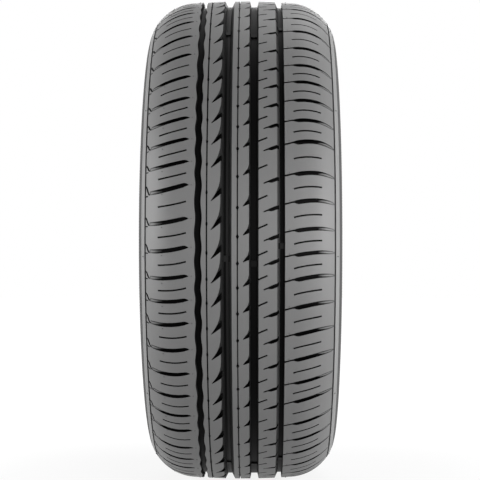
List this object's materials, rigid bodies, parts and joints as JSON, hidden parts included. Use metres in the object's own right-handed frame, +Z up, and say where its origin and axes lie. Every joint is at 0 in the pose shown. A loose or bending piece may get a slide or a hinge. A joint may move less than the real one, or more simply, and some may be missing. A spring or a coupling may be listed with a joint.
{
  "type": "car tyre",
  "caption": "Low-profile car tyre with an asymmetric ribbed tread, wavy and straight grooves, slotted shoulders and two bead seats for a wheel rim.",
  "frame": {"origin": "the wheel's centre, midway between the sidewalls on the spin axis", "axes": "+Y along the spin axis, to the right in the picture; +Z up, standing on the tread; +X is the stretch of tread that faces the picture's camera"},
  "size_m": [0.645, 0.241, 0.645],
  "materials": {
    "tyre": "matt moulded rubber"
  },
  "bodies": {
    "root": {"tyre": "tyre"}
  },
  "joints": []
}
